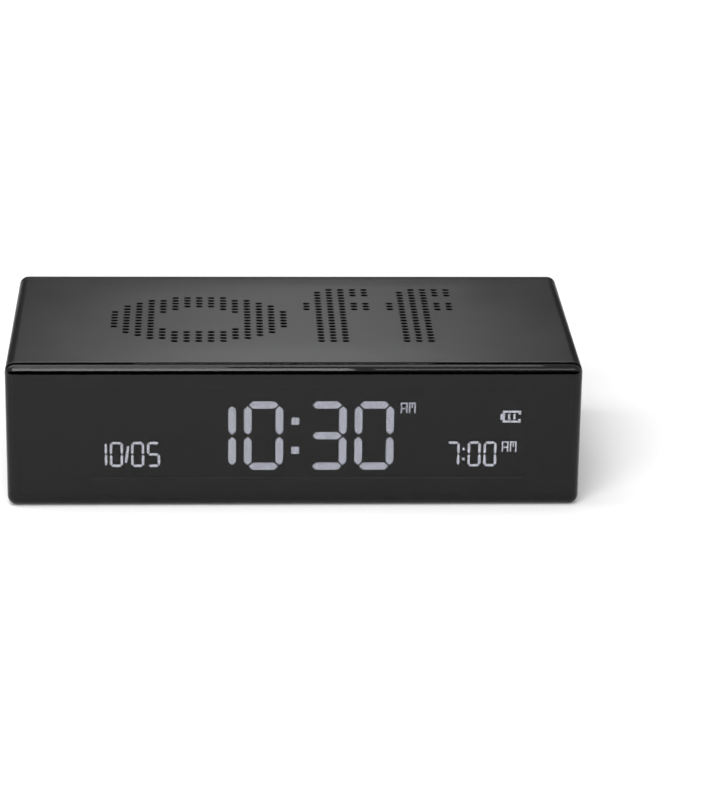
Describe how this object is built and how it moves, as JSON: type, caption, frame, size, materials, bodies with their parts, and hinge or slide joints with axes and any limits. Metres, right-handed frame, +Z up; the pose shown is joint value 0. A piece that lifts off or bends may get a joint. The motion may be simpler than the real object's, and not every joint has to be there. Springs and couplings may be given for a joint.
{
  "type": "digital alarm clock",
  "caption": "Low rectangular digital alarm clock: metal sleeve with sound holes, gloss front panel with lit display, rear keys and charging socket; turned over to switch the alarm.",
  "frame": {"origin": "middle of the underside, on the surface that the clock stands on", "axes": "+X to the right seen from the front, +Y to the back, +Z up"},
  "size_m": [0.18, 0.09, 0.047],
  "materials": {
    "sleeve_metal": "dark anodised, satin",
    "mesh": "fine black weave",
    "panel_plastic": "smoked, polished",
    "gasket": "black, dull",
    "tape": "adhesive foam",
    "case_plastic": "fine spark texture",
    "black_screw": "black oxide",
    "chassis_plastic": "as moulded",
    "white_plastic": "as moulded",
    "film": "polarising film",
    "display_glass": "polished",
    "seal": "epoxy",
    "segments": "lit, cool white",
    "white_film": "satin white film",
    "clear_plastic": "clear, polished",
    "flex": "amber film",
    "lamp": "phosphor yellow",
    "board": "green solder mask",
    "steel": "plain",
    "chip": "moulded epoxy",
    "ceramic_part": "ceramic",
    "brass": "plain",
    "foil": "laminated pouch",
    "red_lead": "red sleeve",
    "black_lead": "black sleeve",
    "magnet": "nickel dark",
    "cone": "pressed paper",
    "key_rubber": "soft matt",
    "plunger_plastic": "as moulded"
  },
  "bodies": {
    "case": {"sleeve": "sleeve_metal", "top_mesh": "mesh", "bottom_mesh": "mesh", "front_panel": "panel_plastic", "front_gasket": "gasket", "panel_tape": "tape", "rear_cover": "case_plastic", "rear_gasket": "gasket", "rear_screws": "black_screw", "chassis": "chassis_plastic", "lcd_holder": "white_plastic", "front_polariser": "film", "lcd_front_glass": "display_glass", "lcd_seal": "seal", "display_segments": "segments", "lcd_rear_glass": "display_glass", "rear_polariser": "film", "diffuser_sheet": "white_film", "light_guide": "clear_plastic", "reflector_sheet": "white_film", "led_strip": "flex", "backlight_leds": "lamp", "display_flex": "flex", "flex_connector": "white_plastic", "main_board": "board", "board_screws": "steel", "controller_chip": "chip", "charger_chip": "chip", "crystal": "steel", "board_parts": "ceramic_part", "switch_cans": "steel", "switch_domes": "steel", "tilt_switch_body": "chip", "tilt_switch_lid": "brass", "usb_shell": "steel", "usb_tongue": "chip", "battery_cell": "foil", "battery_board": "board", "battery_tape": "tape", "battery_leads": "red_lead", "battery_plug": "white_plastic", "battery_header": "white_plastic", "speaker_basket": "steel", "speaker_magnet": "magnet", "speaker_cone": "cone", "speaker_gasket": "gasket", "speaker_leads": "black_lead"},
    "key_clock_body": {"key_clock": "key_rubber", "plunger_clock": "plunger_plastic"},
    "key_bell_body": {"key_bell": "key_rubber", "plunger_bell": "plunger_plastic"},
    "key_plus_body": {"key_plus": "key_rubber", "plunger_plus": "plunger_plastic"},
    "key_minus_body": {"key_minus": "key_rubber", "plunger_minus": "plunger_plastic"},
    "key_light_body": {"key_light": "key_rubber", "plunger_light": "plunger_plastic"},
    "tilt_ball_body": {"tilt_ball": "brass"}
  },
  "joints": [
    {"name": "press_clock", "type": "slide", "parent": "case", "child": "key_clock_body", "axis": [0, -1, 0], "range_m": [0, 0.0003], "stiffness_N_per_m": 1200, "springref_m": -0.0005},
    {"name": "press_bell", "type": "slide", "parent": "case", "child": "key_bell_body", "axis": [0, -1, 0], "range_m": [0, 0.0003], "stiffness_N_per_m": 1200, "springref_m": -0.0005},
    {"name": "press_plus", "type": "slide", "parent": "case", "child": "key_plus_body", "axis": [0, -1, 0], "range_m": [0, 0.0003], "stiffness_N_per_m": 1200, "springref_m": -0.0005},
    {"name": "press_minus", "type": "slide", "parent": "case", "child": "key_minus_body", "axis": [0, -1, 0], "range_m": [0, 0.0003], "stiffness_N_per_m": 1200, "springref_m": -0.0005},
    {"name": "press_light", "type": "slide", "parent": "case", "child": "key_light_body", "axis": [0, -1, 0], "range_m": [0, 0.0003], "stiffness_N_per_m": 1200, "springref_m": -0.0005},
    {"name": "tilt_ball_drop", "type": "slide", "parent": "case", "child": "tilt_ball_body", "axis": [0, 0, 1], "range_m": [0, 0.0025]}
  ]
}
